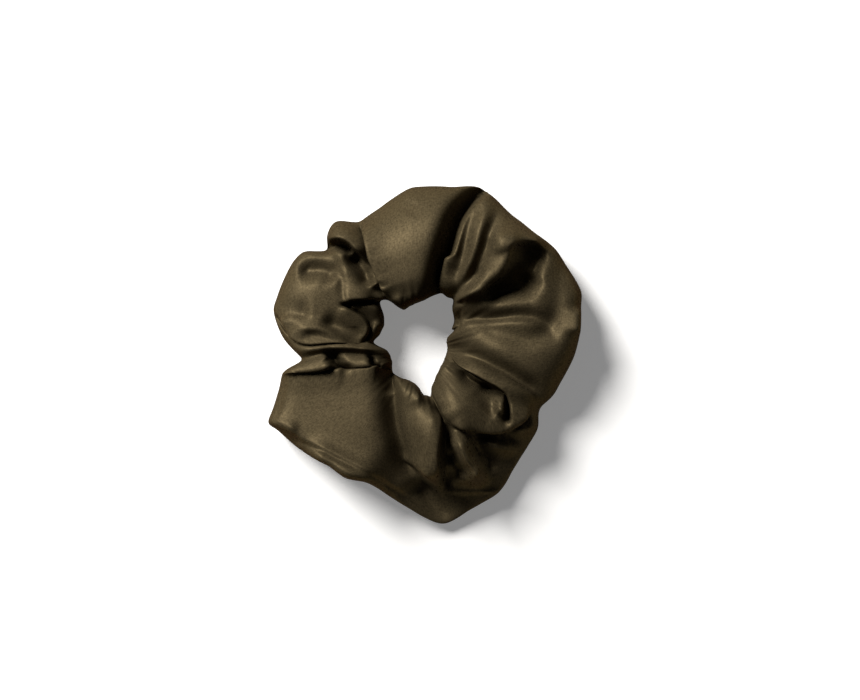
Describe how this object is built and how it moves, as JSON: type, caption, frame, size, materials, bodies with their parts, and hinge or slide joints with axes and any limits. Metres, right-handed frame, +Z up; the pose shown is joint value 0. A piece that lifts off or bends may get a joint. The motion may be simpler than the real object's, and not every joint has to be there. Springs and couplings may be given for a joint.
{
  "type": "scrunchie",
  "caption": "Gathered satin scrunchie lying flat: a sewn cloth tube, ruched on a loop of flat elastic that stretches to go round a ponytail.",
  "frame": {"origin": "on the table, under the middle of the scrunchie's bounding box", "axes": "+Z up from the table, along the hole; +Y along the longer side of the plan, towards the smooth panel at the back; +X to the right"},
  "size_m": [0.107, 0.1153, 0.0278],
  "materials": {
    "satin": "olive-bronze satin weave, soft sheen",
    "satin_thread": "spun polyester sewing thread",
    "elastic": "flat braided elastic, matt",
    "elastic_thread": "spun polyester sewing thread"
  },
  "bodies": {
    "left_half": {"cover_left_half": "satin", "long_seam_thread_left": "satin_thread", "closing_seam_thread": "satin_thread", "elastic_band": "elastic", "elastic_join_thread": "elastic_thread"},
    "right_half": {"cover_right_half": "satin", "long_seam_thread_right": "satin_thread"}
  },
  "joints": [
    {"name": "stretch", "type": "slide", "parent": "left_half", "child": "right_half", "axis": [1, 0, 0], "range_m": [0, 0.06], "stiffness_N_per_m": 80, "deforming": ["elastic_band"]}
  ]
}
